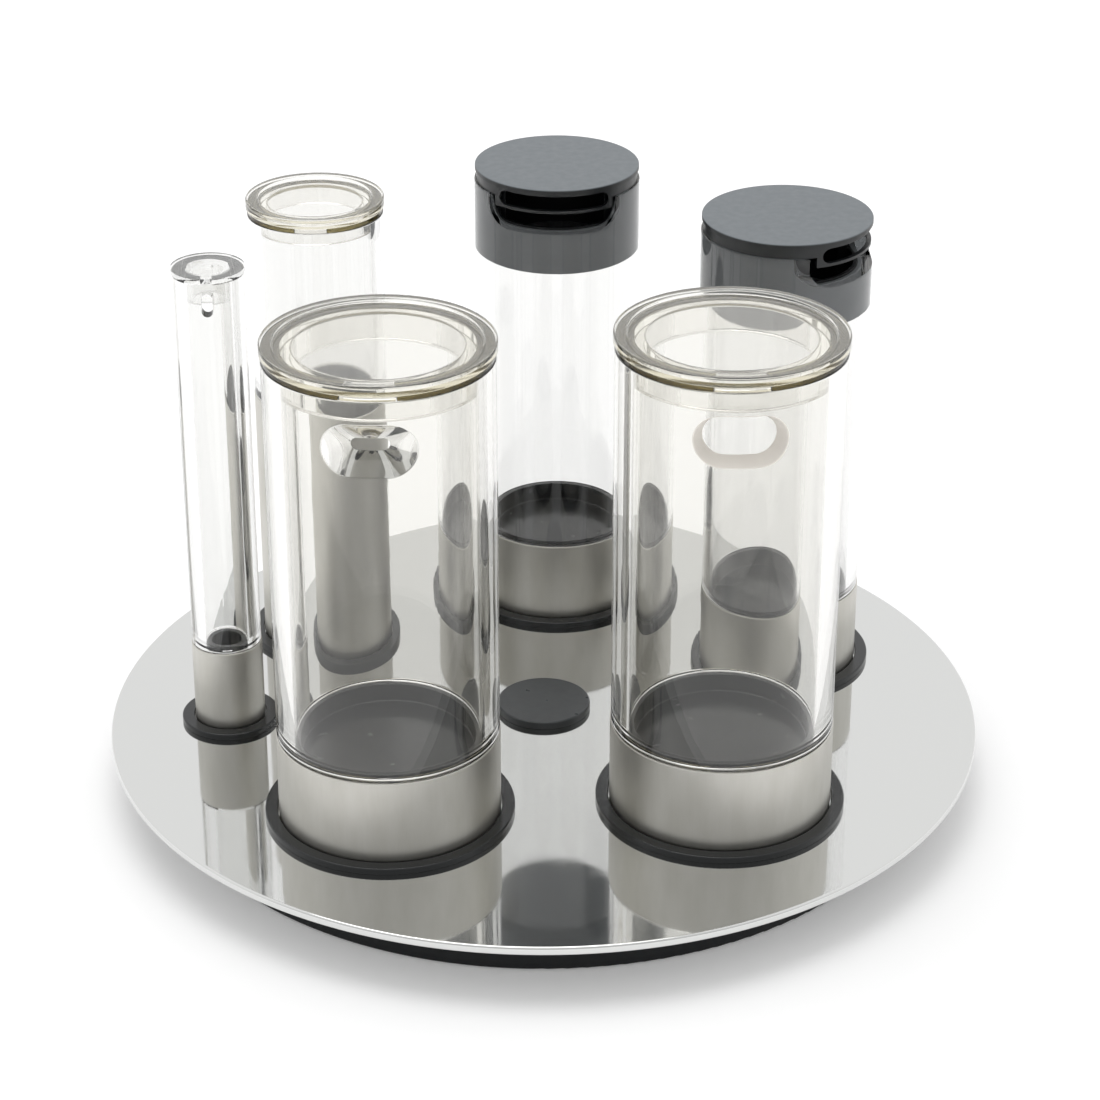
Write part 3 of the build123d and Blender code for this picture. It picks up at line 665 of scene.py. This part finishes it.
slim_acrylic = clear_acrylic("slim acrylic", (0.92, 0.92, 0.912), 0.08)
dress(slim_acrylic, "slim_tube")
shaker_acrylic = clear_acrylic("shaker acrylic", (0.93, 0.93, 0.925), 0.08)
for place, facing in shaker_fronts.items():
    at, turn = middle(f"{place}_cup"), math.radians(facing)
    tube = notched_tube(
        f"{place}_clear", at, turn, tube_r[place], bore_r[place], tube_bottom, notched_edge
    )
    stands_for(tube, shaker_acrylic, place, "clear_acrylic", f"{place}_tube")
slate = new_finish("slate moulding", (0.215, 0.228, 0.238), Roughness=0.45, IOR=1.5)
drives(slate, ranged(slate, grain(slate, 2 * mm, detail=4), 0.38, 0.5), "Roughness")
for place, facing in shaker_fronts.items():
    at, turn = middle(f"{place}_cup"), math.radians(facing)
    chamber = notched_tube(
        f"{place}_chamber", at, turn, chamber_r, chamber_bore_r, chamber_low, chamber_edge
    )
    stands_for(chamber, slate, f"{place}_spout", "black_satin", f"{place}_liner")
    floor = turned(
        f"{place}_chamber_floor",
        at,
        [
            (0, chamber_floor_low + gate_t), (gate_r, chamber_floor_low + gate_t),
            (gate_r, chamber_floor_low), (chamber_floor_r, chamber_floor_low),
            (chamber_floor_r, chamber_floor_high), (0, chamber_floor_high),
        ],
        [0, 0.05, 0.05, 0.1, 0.1, 0],
        128,
        solid=True,
    )
    stands_for(floor, slate, f"{place}_spout", "black_satin")

# ---- lids ----
# The jars and the canister close with turned clear stoppers: a flange with a shallow round recess in
# its top, and a hollow skirt that drops into the bore. The slim cap is the same in small, with a groove.
lid_top, flange_t, lid_lap, recess_in, recess_t, skirt_gap, web = 115.2, 2.4, 0.3, 2.9, 0.8, 0.1, 0.2
lid_skirts = {"jar_left": (106.0, 18.65), "jar_right": (106.0, 18.65), "canister": (108.0, 11.4)}

lid_acrylic = clear_acrylic("lid acrylic", (0.925, 0.92, 0.905), 0.12)
soaks(lid_acrylic, 40.0, (0.93, 0.9, 0.78))
for place, (skirt_z, hollow_r) in lid_skirts.items():
    flange_r, skirt_r = tube_r[place] + lid_lap, bore_r[place] - skirt_gap
    recess_r, under, recess_z = flange_r - recess_in, lid_top - flange_t, lid_top - recess_t
    lid = turned(
        f"{place}_stopper",
        middle(f"{place}_lid"),
        [
            (0, under + web), (hollow_r, under + web), (hollow_r, skirt_z), (skirt_r, skirt_z),
            (skirt_r, under), (flange_r, under), (flange_r, lid_top), (recess_r, lid_top),
            (recess_r, recess_z), (0, recess_z),
        ],
        [0, 0.4, 0.2, 0.25, 0.08, 0.3, 0.4, 0.3, 0.35, 0],
        288,
        solid=True,
    )
    stands_for(lid, lid_acrylic, f"{place}_lid", "clear_acrylic", f"{place}_lid")
dress(slim_acrylic, "slim_cap")

# ---- seals and keys ----
# A soft smoky ring sits under each stopper's flange. It is broken at the front, where a clear key
# fills the gap.
seal_inset, seal_break, key_half = 0.5, 14.2, 13.5
seal_low, seal_high, key_gap = 111.65, 112.75, 0.03
fronts = {"jar_left": -92.5, "jar_right": -87.7, "canister": -90.0}


def ring_part(name, at, corners, radii, start, stop, turns):
    """Part of a ring from one angle to another: the outline swept round, with both ends closed flat."""
    outline, normal = rounded(corners, radii, 3)
    outline, normal = outline.reshape(1, -1, 2), normal.reshape(1, -1, 2)
    angle = np.linspace(start, stop, turns)[:, None]
    points, normals = spun(at, angle, outline), spun((0, 0), angle, normal)
    marks = outline.shape[1]
    index = np.arange(turns * marks).reshape(turns, marks)
    on, up = index[1:], np.roll(index, -1, 1)
    faces = np.stack([index[:-1], on, up[1:], up[:-1]], -1).reshape(-1, 4).tolist()
    faces += [index[0].tolist(), index[-1][::-1].tolist()]
    piece = to_mesh(name, points.reshape(-1, 3), faces, normals.reshape(-1, 3))
    ends = np.array([-np.sin(start), np.cos(start), 0]), np.array([-np.sin(stop), np.cos(stop), 0])
    loops = normals.reshape(-1, 3)[np.concatenate([np.array(f) for f in faces])]
    loops[-2 * marks:-marks], loops[-marks:] = -ends[0], ends[1]
    piece.data.normals_split_custom_set(unit(loops).tolist())
    return piece


smoky = new_finish("smoky seal", (0.95, 0.93, 0.87), Roughness=0.1, IOR=1.45, Transmission_Weight=1.0)
drives(smoky, ranged(smoky, grain(smoky, 1.5 * mm), 0.06, 0.16), "Roughness")
soaks(smoky, 1000.0, (0.6, 0.55, 0.3))
for place, front in fronts.items():
    at = middle(f"{place}_tube")
    outer, inner = tube_r[place] + lid_lap - seal_inset, bore_r[place] - skirt_gap
    half, key = math.radians(seal_break), math.radians(key_half)
    face = math.radians(front)
    seal = ring_part(
        f"{place}_smoky", at,
        [(inner, seal_low), (outer, seal_low), (outer, seal_high), (inner, seal_high)],
        0.15, face + half, face + 2 * np.pi - half, 220,
    )
    stands_for(seal, smoky, f"{place}_lid", "smoky_seal", f"{place}_seal")
    tab = ring_part(
        f"{place}_key", at,
        [(inner + key_gap, seal_low), (outer, seal_low), (outer, seal_high), (inner + key_gap, seal_high)],
        0.08, face - key, face + key, 40,
    )
    stands_for(tab, lid_acrylic, f"{place}_lid", "clear_acrylic")

# ---- shaker spouts and caps ----
# A black moulded spout sits on each shaker's rim, with a windowed tongue in the notch, and a flat black
# cap turns in it to open or shut the window. The caps' tops are painted a lighter slate grey than their
# black sides, as painted light falling from above; a fine grain bump covers the whole cap.
# Painted light: the lighter slate grey laid on the caps' top faces, standing for light from above.
lit_top_paint = (0.135, 0.152, 0.165)
painted_light_full_depth, painted_light_fade_depth = 0.08 * mm, 0.3 * mm
cap_satin_lit_top = new_finish("cap satin with painted lit top", lit_top_paint, Roughness=0.42, IOR=1.5)
height = cap_satin_lit_top.node_tree.nodes.new("ShaderNodeSeparateXYZ")
place_of = cap_satin_lit_top.node_tree.nodes.new("ShaderNodeTexCoord")
cap_satin_lit_top.node_tree.links.new(place_of.outputs["Object"], height.inputs["Vector"])
cap_top = plate_top + lid_top * mm
# Painted light mask: 0 below the cap's top edge, rising to 1 on the top face, by height in object space.
painted_top_light = ranged(cap_satin_lit_top, height.outputs["Z"], 0.0, 1.0, cap_top - painted_light_fade_depth, cap_top - painted_light_full_depth)
shaded(cap_satin_lit_top, painted_top_light, mould_black, lit_top_paint)
drives(cap_satin_lit_top, ranged(cap_satin_lit_top, grain(cap_satin_lit_top, 2 * mm, detail=5), 0.36, 0.48), "Roughness")
relief(cap_satin_lit_top, grain(cap_satin_lit_top, 0.3 * mm), 0.003 * mm)
spout_satin = new_finish("spout satin", mould_black, Roughness=0.35, IOR=1.5)
drives(spout_satin, ranged(spout_satin, grain(spout_satin, 2 * mm, detail=4), 0.28, 0.42), "Roughness")
dress(cap_satin_lit_top, "shaker_centre_cap", "shaker_right_cap")
dress(spout_satin, "shaker_centre_spout", "shaker_right_spout")

# ---- table top, light and camera ----
# The carousel stands on a plain white sheet. The room is light behind and above and dimmer in front,
# with one wide soft lamp overhead.
floor_r, floor_turns = 6.0, 96
angle = np.arange(floor_turns) * 2 * np.pi / floor_turns
rim = np.stack([floor_r * np.cos(angle), floor_r * np.sin(angle), 0 * angle], -1)
sheet_mesh = bpy.data.meshes.new("white_sheet")
sheet_mesh.from_pydata(rim.tolist(), [], [list(range(floor_turns))])
sheet = bpy.data.objects.new("white_sheet", sheet_mesh)
bpy.context.scene.collection.objects.link(sheet)
sheet_finish = new_finish(
    "white sheet", (0.9, 0.9, 0.9), Roughness=0.9, Specular_IOR_Level=0.0,
    Emission_Color=(1.0, 1.0, 1.0, 1.0), Emission_Strength=0.16,
)
drives(sheet_finish, ranged(sheet_finish, grain(sheet_finish, 3 * mm), 0.85, 0.95), "Roughness")
sheet_mesh.materials.append(sheet_finish)

front_glow, back_glow = 0.62, 0.98
room = bpy.data.worlds.new("studio")
room.use_nodes = True
bpy.context.scene.world = room
tree = room.node_tree
sky = tree.nodes["Background"]
look = tree.nodes.new("ShaderNodeTexCoord")
split = tree.nodes.new("ShaderNodeSeparateXYZ")
glow = tree.nodes.new("ShaderNodeMapRange")
glow.interpolation_type = "SMOOTHSTEP"
for socket, value in zip(("From Min", "From Max", "To Min", "To Max"), (-0.95, 0.25, front_glow, back_glow)):
    glow.inputs[socket].default_value = value
tree.links.new(look.outputs["Generated"], split.inputs["Vector"])
tree.links.new(split.outputs["Y"], glow.inputs["Value"])
tree.links.new(glow.outputs["Result"], sky.inputs["Strength"])
sky.inputs["Color"].default_value = (1.0, 1.0, 1.0, 1.0)

lamp_data = bpy.data.lights.new("soft_lamp", "AREA")
lamp_data.shape = "DISK"
lamp_data.size = 1.0
lamp_data.energy = 5.0
lamp = bpy.data.objects.new("soft_lamp", lamp_data)
lamp.location = (-0.15, 0.1, 1.3)
lamp.rotation_euler = (math.radians(4), math.radians(-6), 0)
bpy.context.scene.collection.objects.link(lamp)

camera_data = bpy.data.cameras.new("studio_camera")
camera_data.lens = 102.69
camera_data.sensor_width = 36.0
camera_data.clip_start, camera_data.clip_end = 0.01, 50.0
camera = bpy.data.objects.new("studio_camera", camera_data)
eye, aim = np.array([0.00151, -0.65572, 0.38781]), np.array([0.00151, 0.0, 0.05685])
tilt = math.atan2(eye[2] - aim[2], aim[1] - eye[1])
camera.location = eye.tolist()
camera.rotation_euler = (math.pi / 2 - tilt, 0, 0)
bpy.context.scene.collection.objects.link(camera)
bpy.context.scene.camera = camera

scene = bpy.context.scene
scene.view_settings.view_transform = "Standard"
scene.cycles.max_bounces = 40
scene.cycles.transmission_bounces = 36
scene.cycles.glossy_bounces = 12
scene.cycles.diffuse_bounces = 3
scene.cycles.transparent_max_bounces = 16
